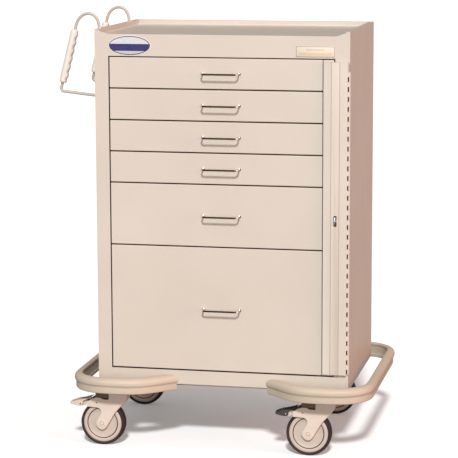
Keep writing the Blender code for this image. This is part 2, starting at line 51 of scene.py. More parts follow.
# ---- the CAD's own sizes, in cabinet millimetres -------------------------------------
_lo, _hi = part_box("face_frame")
CX, FY = (_lo.x + _hi.x) / 2, _lo.y
TO_WORLD = Matrix.Translation((CX, FY, 0.0)) @ Matrix.Scale(0.001, 4)


def room(node):
    """The node's box in cabinet millimetres: (x0, x1, y0, y1, z0, z1)."""
    low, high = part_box(node)
    return ((low.x - CX) * 1000, (high.x - CX) * 1000, (low.y - FY) * 1000, (high.y - FY) * 1000,
            low.z * 1000, high.z * 1000)


_r = room("face_frame")
HALF_W, SHEET, TOE, RIM = _r[1], _r[3] - _r[2], _r[4], _r[5]
DEPTH = room("back_panel")[3]
TRAY = room("top_tray")[5]
HEADER = TRAY + 2.0
DRAWERS = [room(f"drawer_{i}_front") for i in range(1, 7)]
OPEN_L, OPEN_R = DRAWERS[0][0] - 2.5, DRAWERS[0][1] + 1.7
OPEN_LOW, OPEN_HIGH = DRAWERS[5][4] - 3.0, DRAWERS[0][5] + 3.0
BAR = room("lock_bar")
BAR_LOW, BAR_HIGH, BAR_L = BAR[4], BAR[5], BAR[0]
_pin = room("hinge_pin")
PIN_X, PIN_Y = (_pin[0] + _pin[1]) / 2, (_pin[2] + _pin[3]) / 2
_staple = room("seal_staple")
SLOT_X, SLOT_Z = (_staple[0] + _staple[1]) / 2, (_staple[4] + _staple[5]) / 2

# ---- light levels ----
WORLD, KEY, SIDE, LOW_FRONT, FLOOR_GLOW = 0.25, 3.04, 2.10, 0.80, 0.15

# ---- materials -----------------------------------------------------------------------


def graph(name):
    mat = bpy.data.materials.new(name)
    mat.use_nodes = True
    tree = mat.node_tree
    shader = tree.nodes["Principled BSDF"]
    return mat, tree, shader


def noise(tree, coords, scale, detail=3.0, rough=0.55, stretch=None):
    node = tree.nodes.new("ShaderNodeTexNoise")
    node.inputs["Scale"].default_value = scale
    node.inputs["Detail"].default_value = detail
    node.inputs["Roughness"].default_value = rough
    if stretch:
        mapping = tree.nodes.new("ShaderNodeMapping")
        mapping.inputs["Scale"].default_value = stretch
        tree.links.new(coords, mapping.inputs["Vector"])
        coords = mapping.outputs["Vector"]
    tree.links.new(coords, node.inputs["Vector"])
    return node.outputs["Fac"]


def spread(tree, value, low, high, start=0.3, end=0.7):
    node = tree.nodes.new("ShaderNodeMapRange")
    node.inputs["From Min"].default_value = start
    node.inputs["From Max"].default_value = end
    node.inputs["To Min"].default_value = low
    node.inputs["To Max"].default_value = high
    tree.links.new(value, node.inputs["Value"])
    return node.outputs["Result"]


def blend_colours(tree, factor, a, b):
    node = tree.nodes.new("ShaderNodeMix")
    node.data_type = "RGBA"
    tree.links.new(factor, node.inputs["Factor"])
    for socket, value in ((node.inputs[6], a), (node.inputs[7], b)):
        if isinstance(value, tuple):
            socket.default_value = (*value, 1.0)
        else:
            tree.links.new(value, socket)
    return node.outputs[2]


def bumps(tree, shader, heights):
    """Chained bumps: (height output, strength, distance in metres)."""
    normal = None
    for height, strength, distance in heights:
        node = tree.nodes.new("ShaderNodeBump")
        node.inputs["Strength"].default_value = strength
        node.inputs["Distance"].default_value = distance
        tree.links.new(height, node.inputs["Height"])
        if normal:
            tree.links.new(normal, node.inputs["Normal"])
        normal = node.outputs["Normal"]
    tree.links.new(normal, shader.inputs["Normal"])


def powder_coat(name, colour, rough=0.36, peel=0.10, tone=0.035, coat=0.0):
    """Powder-coated sheet: orange peel, a faint drift of tone, dust in soft patches."""
    mat, tree, shader = graph(name)
    coords = tree.nodes.new("ShaderNodeTexCoord").outputs["Object"]
    drift = spread(tree, noise(tree, coords, 3.2, 2.0), 0.0, 1.0)
    light = tuple(min(1.0, c * (1 + tone)) for c in colour)
    dark = (colour[0] * (1 - tone), colour[1] * (1 - tone * 1.25), colour[2] * (1 - tone * 1.5))
    toned = blend_colours(tree, drift, dark, light)
    specks = spread(tree, noise(tree, coords, 420.0, 2.0), 0.0, 1.0, 0.70, 0.78)
    speck = tuple(c * 0.90 for c in colour)
    tree.links.new(blend_colours(tree, specks, toned, speck), shader.inputs["Base Color"])
    tree.links.new(spread(tree, noise(tree, coords, 9.0, 4.0), rough - 0.05, rough + 0.07),
                   shader.inputs["Roughness"])
    bumps(tree, shader, [(noise(tree, coords, 520.0, 2.0), peel, 0.00035),
                         (noise(tree, coords, 26.0, 2.0), peel * 0.5, 0.0012)])
    shader.inputs["Coat Weight"].default_value = coat
    shader.inputs["Coat Roughness"].default_value = 0.18
    return mat


def moulded(name, colour, rough=0.48, grain=0.14, scuff=0.35, tone=0.05):
    """Moulded plastic: spark-eroded grain, flow marks and shallow scuffs along the length."""
    mat, tree, shader = graph(name)
    coords = tree.nodes.new("ShaderNodeTexCoord").outputs["Object"]
    flow = spread(tree, noise(tree, coords, 7.0, 4.0, 0.6, (1.0, 1.0, 3.0)), 0.0, 1.0)
    light = tuple(min(1.0, c * (1 + tone)) for c in colour)
    dark = (colour[0] * (1 - tone), colour[1] * (1 - tone * 1.3), colour[2] * (1 - tone * 1.6))
    toned = blend_colours(tree, flow, dark, light)
    marks = spread(tree, noise(tree, coords, 34.0, 5.0, 0.7, (0.35, 0.35, 6.0)), 0.0, scuff, 0.62, 0.80)
    tree.links.new(blend_colours(tree, marks, toned, tuple(c * 0.78 for c in colour)), shader.inputs["Base Color"])
    tree.links.new(spread(tree, noise(tree, coords, 60.0, 3.0), rough - 0.06, rough + 0.10), shader.inputs["Roughness"])
    bumps(tree, shader, [(noise(tree, coords, 1400.0, 1.0), grain, 0.00015),
                         (noise(tree, coords, 120.0, 3.0), grain * 0.4, 0.0003)])
    return mat


def plated(name, colour, rough=0.3, brush=0.12, stretch=(1.0, 1.0, 30.0), stain=0.25):
    """Plated or polished metal with drawn lines and a little staining."""
    mat, tree, shader = graph(name)
    coords = tree.nodes.new("ShaderNodeTexCoord").outputs["Object"]
    stained = spread(tree, noise(tree, coords, 22.0, 5.0, 0.65), 0.0, stain)
    tree.links.new(blend_colours(tree, stained, colour, tuple(c * 0.55 for c in colour)), shader.inputs["Base Color"])
    shader.inputs["Metallic"].default_value = 1.0
    lines = noise(tree, coords, 240.0, 3.0, 0.6, stretch)
    tree.links.new(spread(tree, lines, max(0.05, rough - 0.08), rough + 0.10), shader.inputs["Roughness"])
    bumps(tree, shader, [(lines, brush, 0.00008)])
    return mat


def rubber(name, colour, rough=0.72):
    """Wheel rubber: matt, dusty where it rolls, with faint moulding lines."""
    mat, tree, shader = graph(name)
    coords = tree.nodes.new("ShaderNodeTexCoord").outputs["Object"]
    dust = spread(tree, noise(tree, coords, 30.0, 5.0, 0.65), 0.0, 0.22, 0.45, 0.75)
    tree.links.new(blend_colours(tree, dust, colour, (0.085, 0.072, 0.070)), shader.inputs["Base Color"])
    tree.links.new(spread(tree, noise(tree, coords, 90.0, 3.0), rough - 0.1, rough + 0.12), shader.inputs["Roughness"])
    bumps(tree, shader, [(noise(tree, coords, 700.0, 2.0), 0.25, 0.0003)])
    return mat


def printed(name, colour, rough=0.35, mottle=0.03):
    """A printed or enamelled plate: smooth, with a faint print grain."""
    mat, tree, shader = graph(name)
    coords = tree.nodes.new("ShaderNodeTexCoord").outputs["Object"]
    grain = spread(tree, noise(tree, coords, 900.0, 2.0), 0.0, 1.0)
    tree.links.new(blend_colours(tree, grain, tuple(c * (1 - mottle) for c in colour),
                                 tuple(min(1.0, c * (1 + mottle)) for c in colour)), shader.inputs["Base Color"])
    tree.links.new(spread(tree, noise(tree, coords, 40.0, 3.0), rough - 0.05, rough + 0.08), shader.inputs["Roughness"])
    bumps(tree, shader, [(noise(tree, coords, 600.0, 1.0), 0.05, 0.0002)])
    return mat


def pull_painted_glints(name, centre_x, reach):
    """Dark metal on the pulls with bright metal at the two bends: painted highlights at the bends and a painted dark
    reflection along the bar.
    """
    mat, tree, shader = graph(name)
    coords = tree.nodes.new("ShaderNodeTexCoord").outputs["Object"]
    split = tree.nodes.new("ShaderNodeSeparateXYZ")
    tree.links.new(coords, split.inputs["Vector"])
    away = tree.nodes.new("ShaderNodeMath")
    away.operation = "SUBTRACT"
    away.inputs[1].default_value = centre_x
    tree.links.new(split.outputs["X"], away.inputs[0])
    size = tree.nodes.new("ShaderNodeMath")
    size.operation = "ABSOLUTE"
    tree.links.new(away.outputs[0], size.inputs[0])
    # the bright band at each bend is a painted highlight
    toward_bend = spread(tree, size.outputs[0], 0.0, 1.0, reach - 0.0075, reach - 0.0045)
    rest = spread(tree, size.outputs[0], 1.0, 0.0, reach - 0.0012, reach + 0.0008)
    both = tree.nodes.new("ShaderNodeMath")
    both.operation = "MULTIPLY"
    tree.links.new(toward_bend, both.inputs[0])
    tree.links.new(rest, both.inputs[1])
    tree.links.new(blend_colours(tree, both.outputs[0], (0.055, 0.042, 0.032), (0.86, 0.83, 0.78)),
                   shader.inputs["Base Color"])
    shader.inputs["Metallic"].default_value = 1.0
    tree.links.new(spread(tree, noise(tree, coords, 300.0, 3.0), 0.16, 0.30), shader.inputs["Roughness"])
    bumps(tree, shader, [(noise(tree, coords, 800.0, 2.0), 0.08, 0.0001)])
    return mat


BEIGE = (0.562, 0.496, 0.426)
M = {
    "cabinet": powder_coat("cabinet_paint", BEIGE, 0.34),
    "drawer": powder_coat("drawer_paint", (0.566, 0.500, 0.430), 0.33),
    # Near-black brown for the side faces of the drawer fronts and of the drawer opening: painted shade that darkens the
    # gaps between drawers.
    "edge": powder_coat("painted_gap_shade", (0.105, 0.076, 0.056), 0.5, 0.10, 0.05),
    "tray": powder_coat("tray_paint", (0.548, 0.488, 0.418), 0.36),
    "bar": powder_coat("bar_paint", (0.566, 0.500, 0.430), 0.33),
    "rod": powder_coat("rod_paint", (0.46, 0.405, 0.355), 0.40),
    "inner": powder_coat("inner_paint", (0.47, 0.435, 0.392), 0.42, 0.14, 0.05),
    # A darker copy of the cabinet beige for the chassis under the cart: painted shade.
    "under": powder_coat("frame_painted_shade", (0.46, 0.40, 0.34), 0.45, 0.16, 0.06),
    "zinc": plated("zinc_plate", (0.66, 0.66, 0.645), 0.34),
    "steel": plated("pin_steel", (0.58, 0.575, 0.56), 0.24),
    "screw": plated("screw_plate", (0.50, 0.49, 0.47), 0.30, 0.2, (30.0, 30.0, 1.0)),
    "bumper": moulded("bumper_plastic", (0.490, 0.415, 0.326), 0.50),
    "caster": moulded("caster_plastic", (0.600, 0.510, 0.430), 0.48, 0.12, 0.25),
    # Dark brown for the casters: painted shade on the arms' top faces under the bumper and on a block under the
    # mounting plate.
    "painted_arm_shade": moulded("caster_painted_shade", (0.130, 0.082, 0.050), 0.7, 0.12, 0.15),
    "hub": moulded("hub_plastic", (0.500, 0.418, 0.355), 0.45, 0.10, 0.25),
    "grip": moulded("grip_vinyl", (0.72, 0.675, 0.61), 0.5, 0.10, 0.15, 0.03),
    "pedal_dark": moulded("pedal_black", (0.040, 0.030, 0.034), 0.55, 0.2, 0.2),
    "tyre": rubber("tyre_rubber", (0.015, 0.008, 0.011)),
    # Near-black brown for the studs and the pedal rivets; in the hub groove it is painted shade.
    "hole": moulded("dark_brown_and_groove_shade", (0.03, 0.018, 0.013), 0.8, 0.1, 0.1),
    "plug": moulded("plug_plastic", (0.42, 0.33, 0.28), 0.5, 0.1, 0.1),
    "badge_top": printed("badge_silver", (0.56, 0.57, 0.59), 0.3),
    "badge_band": printed("badge_blue", (0.012, 0.004, 0.110), 0.28, 0.08),
    "badge_low": printed("badge_grey", (0.46, 0.46, 0.48), 0.3),
    "badge_rim": printed("badge_outline", (0.045, 0.038, 0.065), 0.35),
    "badge_halo": printed("badge_edge", (0.74, 0.72, 0.71), 0.35),
    "label": printed("label_cream", (0.665, 0.60, 0.49), 0.4),
    "label_tint": printed("label_peach", (0.63, 0.50, 0.36), 0.4, 0.05),
    "label_line": printed("label_brown", (0.27, 0.165, 0.085), 0.4, 0.05),
}

# ---- making pieces -------------------------------------------------------------------


def link_mesh(name, bm, recalc=True):
    if recalc:
        bmesh.ops.recalc_face_normals(bm, faces=bm.faces)
    mesh = bpy.data.meshes.new(name)
    bm.to_mesh(mesh)
    bm.free()
    obj = bpy.data.objects.new(name, mesh)
    scene.collection.objects.link(obj)
    return obj


def poly(name, points, low, high, plane="XZ"):
    """A flat outline pushed through from low to high. Planes: XZ goes along Y, XY along Z, YZ along X."""
    bm = bmesh.new()
    at = {"XZ": lambda a, b, c: (a, c, b), "XY": lambda a, b, c: (a, b, c), "YZ": lambda a, b, c: (c, a, b)}[plane]
    face = bm.faces.new([bm.verts.new(at(a, b, low)) for a, b in points])
    grown = bmesh.ops.extrude_face_region(bm, geom=[face])["geom"]
    offset = Vector(at(0, 0, high)) - Vector(at(0, 0, low))
    bmesh.ops.translate(bm, vec=offset, verts=[v for v in grown if isinstance(v, bmesh.types.BMVert)])
    return link_mesh(name, bm)


def block(name, x0, x1, y0, y1, z0, z1):
    bm = bmesh.new()
    bmesh.ops.create_cube(bm, size=1.0)
    bmesh.ops.scale(bm, vec=(x1 - x0, y1 - y0, z1 - z0), verts=bm.verts)
    bmesh.ops.translate(bm, vec=((x0 + x1) / 2, (y0 + y1) / 2, (z0 + z1) / 2), verts=bm.verts)
    return link_mesh(name, bm)


def lathe(name, profile, centre, axis="Y", steps=72, closed=True):
    """(radius, along) points turned about an axis through centre."""
    bm = bmesh.new()
    turn = {"Y": lambda r, h, a: (r * math.cos(a), h, r * math.sin(a)),
            "Z": lambda r, h, a: (r * math.cos(a), r * math.sin(a), h),
            "X": lambda r, h, a: (h, r * math.cos(a), r * math.sin(a))}[axis]
    rings = []
    for r, h in profile:
        if r < 1e-6:
            rings.append([bm.verts.new(Vector(turn(0.0, h, 0.0)) + Vector(centre))])
        else:
            rings.append([bm.verts.new(Vector(turn(r, h, 2 * math.pi * i / steps)) + Vector(centre))
                          for i in range(steps)])
    pairs = list(zip(rings, rings[1:])) + ([(rings[-1], rings[0])] if closed and len(rings[0]) > 1 else [])
    for a, b in pairs:
        for i in range(steps):
            j = (i + 1) % steps
            corners = [a[i % len(a)], a[j % len(a)], b[j % len(b)], b[i % len(b)]]
            unique = []
            for v in corners:
                if v not in unique:
                    unique.append(v)
            if len(unique) > 2:
                bm.faces.new(unique)
    return link_mesh(name, bm)


def tube(name, points, radius, around=20, caps=True, radii=None):
    """A round bar along points, with a frame carried along it."""
    bm = bmesh.new()
    points = [Vector(p) for p in points]
    loops, side = [], None
    for i, p in enumerate(points):
        ahead = (points[min(i + 1, len(points) - 1)] - points[max(i - 1, 0)]).normalized()
        if side is None:
            side = ahead.orthogonal().normalized()
        side = (side - ahead * side.dot(ahead)).normalized()
        other = ahead.cross(side)
        r = radii[i] if radii else radius
        loops.append([bm.verts.new(p + side * (r * math.cos(2 * math.pi * j / around))
                                   + other * (r * math.sin(2 * math.pi * j / around))) for j in range(around)])
    for a, b in zip(loops, loops[1:]):
        for j in range(around):
            bm.faces.new((a[j], a[(j + 1) % around], b[(j + 1) % around], b[j]))
    if caps:
        bm.faces.new(list(reversed(loops[0])))
        bm.faces.new(loops[-1])
    return link_mesh(name, bm)


def turned_corners(points, radii, steps=10):
    """An open path through points, each inner corner turned on its radius."""
    out = [Vector(points[0])]
    for before, corner, after, radius in zip(points, points[1:], points[2:], radii):
        before, corner, after = Vector(before), Vector(corner), Vector(after)
        u, v = (before - corner).normalized(), (after - corner).normalized()
        half = u.angle(v) / 2
        reach = radius / math.tan(half)
        middle = corner + (u + v).normalized() * (radius / math.sin(half))
        start, end = corner + u * reach - middle, corner + v * reach - middle
        sweep = start.angle(end)
        for i in range(steps + 1):
            t = i / steps
            out.append(middle + (start * math.sin((1 - t) * sweep) + end * math.sin(t * sweep)) / math.sin(sweep))
    out.append(Vector(points[-1]))
    return out


def arc(cx, cy, radius, start, end, steps):
    return [(cx + radius * math.cos(math.radians(start + (end - start) * i / steps)),
             cy + radius * math.sin(math.radians(start + (end - start) * i / steps))) for i in range(steps + 1)]


def settle(obj):
    """Puts an object's modifiers into its mesh."""
    graph_now = bpy.context.evaluated_depsgraph_get()
    mesh = bpy.data.meshes.new_from_object(obj.evaluated_get(graph_now), preserve_all_data_layers=True,
                                           depsgraph=graph_now)
    obj.modifiers.clear()
    old = obj.data
    obj.data = mesh
    bpy.data.meshes.remove(old)
    return obj


def combine(obj, others, operation="DIFFERENCE"):
    for other in others:
        mod = obj.modifiers.new("b", "BOOLEAN")
        mod.operation, mod.solver, mod.object = operation, "EXACT", other
    settle(obj)
    for other in others:
        bpy.data.objects.remove(other)
    return obj


def rounded(obj, width, segments=3, angle=35.0):
    mod = obj.modifiers.new("edges", "BEVEL")
    mod.width, mod.segments, mod.limit_method, mod.angle_limit = width, segments, "ANGLE", math.radians(angle)
    mod.use_clamp_overlap = True
    return settle(obj)


def join(name, objs):
    """One object from several, keeping each one's materials."""
    bm, mats = bmesh.new(), []
    for o in objs:
        start = len(bm.faces)
        bm.from_mesh(o.data)
        bm.faces.ensure_lookup_table()
        own = list(o.data.materials) or [None]
        for face in bm.faces[start:]:
            mat = own[min(face.material_index, len(own) - 1)]
            if mat not in mats:
                mats.append(mat)
            face.material_index = mats.index(mat)
        bpy.data.objects.remove(o)
    mesh = bpy.data.meshes.new(name)
    bm.to_mesh(mesh)
    bm.free()
    for mat in mats:
        mesh.materials.append(mat)
    obj = bpy.data.objects.new(name, mesh)
    scene.collection.objects.link(obj)
    return obj


def paint(obj, key):
    obj.data.materials.clear()
    obj.data.materials.append(M[key])
    return obj


def place(obj, body, key=None, replaces=(), angle=38.0, weighted=True):
    """The piece goes to the CAD's place, and rides on a body."""
    if key:
        paint(obj, key)
    obj.data.shade_smooth()
    obj.data.set_sharp_from_angle(angle=math.radians(angle))
    if weighted:
        mod = obj.modifiers.new("normals", "WEIGHTED_NORMAL")
        mod.keep_sharp = True
        settle(obj)
    obj.data.transform(TO_WORLD)
    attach(obj, body)
    if replaces:
        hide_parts(*replaces)
    return obj


# ---- cabinet shell -------------------------------------------------------------------
CHAMFER = 36.0
HEM = 12.0
shell = poly("cabinet_shell", [(-HALF_W, TOE), (HALF_W, TOE), (HALF_W, RIM), (HALF_W - CHAMFER, HEADER),
                               (-HALF_W + CHAMFER, HEADER), (-HALF_W, RIM)], 0.0, SHEET)
sides = []
for s in (-1, 1):
    w = HALF_W
    section = [(w, TOE), (w, RIM), (w - HEM, RIM), (w - HEM, RIM - 30), (w - HEM + 2, RIM - 30),
               (w - HEM + 2, RIM - 2), (w - 2, RIM - 2), (w - 2, TOE)]
    sides.append(poly("side", [(s * a, b) for a, b in section], 0.9, DEPTH))
inner = HALF_W - 1.0
section = [(DEPTH, TOE), (DEPTH, RIM), (DEPTH - HEM, RIM), (DEPTH - HEM, RIM - 30), (DEPTH - HEM + 2, RIM - 30),
           (DEPTH - HEM + 2, RIM - 2), (DEPTH - 2, RIM - 2), (DEPTH - 2, TOE)]
sides.append(poly("back", section, -inner, inner, "YZ"))
combine(shell, sides, "UNION")
combine(shell, [block("opening", OPEN_L, OPEN_R, -10, 10, OPEN_LOW, OPEN_HIGH)])
rounded(shell, 0.95, 3, 50.0)
# The lines round the hidden ends of the top and bottom drawers, which run on behind the lock bar,
# the hole behind the seal slot and the open mounting holes.
cuts = [block("line_top", OPEN_R - 0.6, 298.4, -10, 10, OPEN_HIGH - 3.0, OPEN_HIGH),
        block("line_drop", 295.4, 298.4, -10, 10, BAR_HIGH - 9, OPEN_HIGH - 1.0),
        block("line_low", OPEN_R - 0.6, 298.4, -10, 10, OPEN_LOW, OPEN_LOW + 3.0),
        block("line_rise", 295.4, 298.4, -10, 10, OPEN_LOW + 2.0, OPEN_LOW + 9),
        block("eye_hole", SLOT_X - 7, SLOT_X + 7, -10, 10, SLOT_Z - 18, SLOT_Z + 18)]
for y, z, r in [(83.0, 1084.0, 2.9), (330.0, 1084.0, 2.9)]:
    for s in (-1, 1):
        cuts.append(lathe("hole", [(0, -9), (r, -9), (r, 9), (0, 9)], (s * HALF_W, y, z), "X", 20, False))
combine(shell, cuts)
paint(shell, "cabinet")
# The side faces round the drawer opening get the near-black brown: painted shade in the gaps.
shell.data.materials.append(M["edge"])
for face in shell.data.polygons:
    c, nrm = face.center, face.normal
    if 0.4 < c.y < 12 and OPEN_L - 2 < c.x < 300 and OPEN_LOW - 2 < c.z < OPEN_HIGH + 2 and abs(nrm.y) < 0.3:
        face.material_index = 1
place(shell, "cabinet", None, ("face_frame", "side_left", "side_right", "back_panel"))

# Hole plugs on both sides, domed caps with a fine rim.
PLUGS = [(377.5, 1065.0), (87.0, 1071.0), (63.0, 1064.0), (81.0, 1046.0), (215.0, 1029.0), (408.0, 951.0),
         (215.0, 950.0), (406.0, 594.0), (34.0, 593.0)]
for s, side_name in ((-1, "left"), (1, "right")):
    caps = []
    for y, z in PLUGS:
        p = [(0.0, 0.75), (1.4, 0.70), (2.4, 0.45), (2.9, 0.05), (3.0, -0.6), (0.0, -0.6)]
        caps.append(lathe("plug", [(r, s * h) for r, h in p], (s * HALF_W, y, z), "X", 20, False))
    place(join(f"hole_plugs_{side_name}", caps), "cabinet", "plug")

# Tray: the sheet with its edges coved up against the rim.
t0 = TRAY
wide = HALF_W - HEM - 0.4
tray = block("tray_floor", -wide + 0.2, wide - 0.2, SHEET + 0.2, DEPTH - HEM - 0.5, t0 - 2.0, t0)
bm = bmesh.new()
cove = [(0.0, 5.0), (0.4, 3.2), (1.3, 1.6), (2.8, 0.6), (5.0, 0.0), (5.0, -0.8), (0.0, -0.8)]
track = [(-1, Vector((-wide, SHEET + 1.0)), Vector((1, 0))), (0, Vector((-wide, DEPTH - HEM - 0.4)), Vector((1, -1))),
         (1, Vector((wide, DEPTH - HEM - 0.4)), Vector((-1, -1))), (2, Vector((wide, SHEET + 1.0)), Vector((-1, 0)))]
loops = [[bm.verts.new((base.x + inward.x * a, base.y + inward.y * a, t0 + b)) for a, b in cove]
         for _, base, inward in track]
for a, b in zip(loops, loops[1:]):
    for j in range(len(cove)):
        bm.faces.new((a[j], a[(j + 1) % len(cove)], b[(j + 1) % len(cove)], b[j]))
bm.faces.new(loops[0])
bm.faces.new(loops[-1])
coves = link_mesh("tray_cove", bm)
place(join("tray_top", [tray, coves]), "cabinet", "tray", ("top_tray",))

# ---- drawers -------------------------------------------------------------------------
pull0 = room("drawer_1_pull")
PULL_X, PULL_OUT, PULL_R = (pull0[1] - pull0[0]) / 2, -pull0[2], 2.3
M["pull"] = pull_painted_glints("pull_glint_paint", CX + (pull0[0] + pull0[1]) / 2000, PULL_X / 1000)
for i in range(1, 7):
    x0, x1, y0, y1, z0, z1 = DRAWERS[i - 1]
    front = rounded(block(f"drawer_{i}_face", x0, x1, y0, y1, z0, z1), 1.9, 4, 35)
    paint(front, "drawer")
    # The front's top, bottom and end faces get the near-black brown: painted shade in the gaps.
    front.data.materials.append(M["edge"])
    for face in front.data.polygons:
        if abs(face.normal.y) < 0.3 and face.center.y > 4:
            face.material_index = 1
    place(front, f"drawer_{i}", None, (f"drawer_{i}_front",))
    # Pan: folded sheet with rolled lips, beads pressed in the floor and weld marks behind the front.
    a0, a1, b0, b1, c0, c1 = room(f"drawer_{i}_pan")
    lip, t = 8.0, 1.2
    bm = bmesh.new()
    floor_r = 2.5
    ring = [(a0, c1), (a0, c1 - t), (a0 + lip, c1 - t), (a0 + lip, c0 + floor_r), (a0 + lip + floor_r, c0),
            (a1 - lip - floor_r, c0), (a1 - lip, c0 + floor_r), (a1 - lip, c1 - t), (a1, c1 - t), (a1, c1),
            (a1 - lip - t, c1), (a1 - lip - t, c0 + floor_r), (a1 - lip - floor_r, c0 + t),
            (a0 + lip + floor_r, c0 + t), (a0 + lip + t, c0 + floor_r), (a0 + lip + t, c1)]
    pan = poly(f"drawer_{i}_tray", ring, b0, b1)
    walls = [block("wall", a0 + lip + 0.3, a1 - lip - 0.3, b0, b0 + t, c0 + 0.4, c1 - 0.05),
             block("wall", a0 + lip + 0.3, a1 - lip - 0.3, b1 - t, b1, c0 + 0.4, c1 - 0.05)]
    combine(pan, walls, "UNION")
    extra = []
    # raised beads pressed in the pan's floor, and spot welds on the front wall
    for k in range(5):
        y = b0 + 60 + k * (b1 - b0 - 120) / 4
        bead = [(-2.4, 0.0), (-1.2, 0.55), (0.0, 0.75), (1.2, 0.55), (2.4, 0.0), (0.0, -0.4)]
        extra.append(poly("bead", [(y + u, c0 + t + v) for u, v in bead], a0 + lip + 30, a1 - lip - 30, "YZ"))
    for k in range(6):
        x = a0 + 40 + k * (a1 - a0 - 80) / 5
        extra.append(lathe("weld", [(0, 0.35), (1.6, 0.25), (2.6, -0.1), (0, -0.1)], (x, b0 + t, c1 - 9), "Y", 14, False))
    rounded(pan, 0.35, 2, 50)
    place(join(f"drawer_{i}_bin", [pan] + extra), f"drawer_{i}", "inner", (f"drawer_{i}_pan",))
    # Pull: a bent round bar on two small collars.
    zc = (z0 + z1) / 2
    path = turned_corners([(-PULL_X + PULL_R, 0.2, zc), (-PULL_X + PULL_R, -PULL_OUT + PULL_R, zc),
                           (PULL_X - PULL_R, -PULL_OUT + PULL_R, zc), (PULL_X - PULL_R, 0.2, zc)], (8.5, 8.5), 10)
    bits = [tube("bar", path, PULL_R, 20)]
    for s in (-1, 1):
        bits.append(lathe("collar", [(PULL_R - 0.3, -2.4), (PULL_R + 0.9, -2.2), (PULL_R + 1.9, -0.9), (PULL_R + 2.1, -0.02),
                                     (PULL_R - 0.3, -0.02)], (s * (PULL_X - PULL_R), 0.0, zc), "Y", 24))
    place(join(f"drawer_{i}_handle", bits), f"drawer_{i}", "pull", (f"drawer_{i}_pull",))

# ---- lock bar and its piano hinge ----------------------------------------------------
PITCH, BAR_KNUCKLE, OWN_KNUCKLE = 25.4, 12.2, 12.6
rib_l, rib_r = 290.0, 311.5
fy = BAR[2] + 1.2
flange = PIN_Y + 3.5
WEB = 1.4
sheet_outline = [(BAR_L, flange), (BAR_L, fy + 2.0), (BAR_L + 0.6, fy + 0.6), (BAR_L + 2.0, fy), (rib_l - 1.9, fy),
                 (rib_l - 0.5, fy - 0.6), (rib_l, fy + 0.6), (rib_l + 0.5, fy - 1.0), (rib_r - 0.6, fy - 1.0), (rib_r, fy + 0.7),
                 (rib_r + 0.6, fy - 0.5), (rib_r + 1.9, fy), (PIN_X - 6.5, fy), (PIN_X - 4.5, fy + 0.7),
                 (PIN_X - 5.1, fy + 2.0), (PIN_X - 6.9, fy + WEB), (rib_r + 0.5, fy + WEB + 0.4), (rib_l - 0.5, fy + WEB + 0.4),
                 (BAR_L + 2.2, fy + WEB),
                 (BAR_L + WEB, fy + 2.4), (BAR_L + WEB, flange)]
bar = poly("lock_bar_sheet", sheet_outline, BAR_LOW, BAR_HIGH, "XY")
slot_cut = rounded(block("slot", SLOT_X - 4, SLOT_X + 4, -20, -1.2, SLOT_Z - 14, SLOT_Z + 14), 1.5, 3)
combine(bar, [slot_cut])
caps = [block("cap", BAR_L + 1.0, PIN_X - 7.0, fy + 0.9, flange - 0.8, z0, z1)
        for z0, z1 in ((BAR_LOW, BAR_LOW + 1.4), (BAR_HIGH - 1.4, BAR_HIGH))]
combine(bar, caps, "UNION")
R = 8.0
corner_cut = poly("corner", [(BAR_L - 1, BAR_HIGH + 1), (BAR_L - 1, BAR_HIGH - R)] +
                  [(BAR_L + R - R * math.cos(math.radians(a)), BAR_HIGH - R + R * math.sin(math.radians(a)))
                   for a in range(0, 91, 9)] + [(BAR_L + R, BAR_HIGH + 1)], -20, 5)
combine(bar, [corner_cut])
rounded(bar, 0.45, 2, 50)
pieces = [bar]
leaf_bits = []
z = BAR_LOW + 2.0
R_OUT, R_IN = 2.35, 1.3
while z + PITCH <= BAR_HIGH + 0.5:
    # the fixed leaf's knuckle, then the bar's
    leaf_profile = [(PIN_X - 25, PIN_Y + 3.0), (PIN_X - 25, PIN_Y + 4.2), (PIN_X + 0.4, PIN_Y + 4.2), (PIN_X + 2.2, PIN_Y + 2.6)]
    leaf_profile += arc(PIN_X, PIN_Y, R_OUT, 0, -230, 16) + arc(PIN_X, PIN_Y, R_IN, -230, 20, 14) + [(PIN_X + 0.7, PIN_Y + 3.0)]
    leaf_bits.append(poly("leaf_knuckle", leaf_profile, z, z + OWN_KNUCKLE, "XY"))
    strap = [(PIN_X - 6.2, fy + 0.1), (PIN_X - 4.2, fy + 0.85), (PIN_X - 2.2, PIN_Y - 2.7)]
    strap += arc(PIN_X, PIN_Y, R_OUT, -90, 120, 14) + arc(PIN_X, PIN_Y, R_IN, 120, -90, 12)
    strap += [(PIN_X - 2.7, PIN_Y - 1.7), (PIN_X - 5.0, fy + 1.9), (PIN_X - 6.6, fy + 1.3)]
    pieces.append(poly("bar_knuckle", strap, z + OWN_KNUCKLE + 0.3, z + OWN_KNUCKLE + 0.3 + BAR_KNUCKLE, "XY"))
    z += PITCH
place(join("lock_bar_panel", pieces), "lock_bar", "bar", ("lock_bar",), weighted=True)
leaf_strip = poly("leaf_strip", [(PIN_X - 25, PIN_Y + 3.0), (PIN_X - 25, PIN_Y + 4.2), (PIN_X + 0.2, PIN_Y + 4.2),
                                 (PIN_X + 0.2, PIN_Y + 3.0)], BAR_LOW, BAR_HIGH, "XY")
screws = []
for k in range(9):
    zz = BAR_LOW + 30 + k * (BAR_HIGH - BAR_LOW - 60) / 8
    head = lathe("screw", [(0, -0.9), (1.0, -1.0), (1.1, -0.55), (1.3, -0.55), (1.4, -1.0), (2.4, -0.75), (3.1, -0.2), (3.2, 0.1), (0, 0.1)],
                 (PIN_X - 17.0, PIN_Y + 3.0, zz), "Y", 20, False)
    screws.append(paint(head, "screw"))
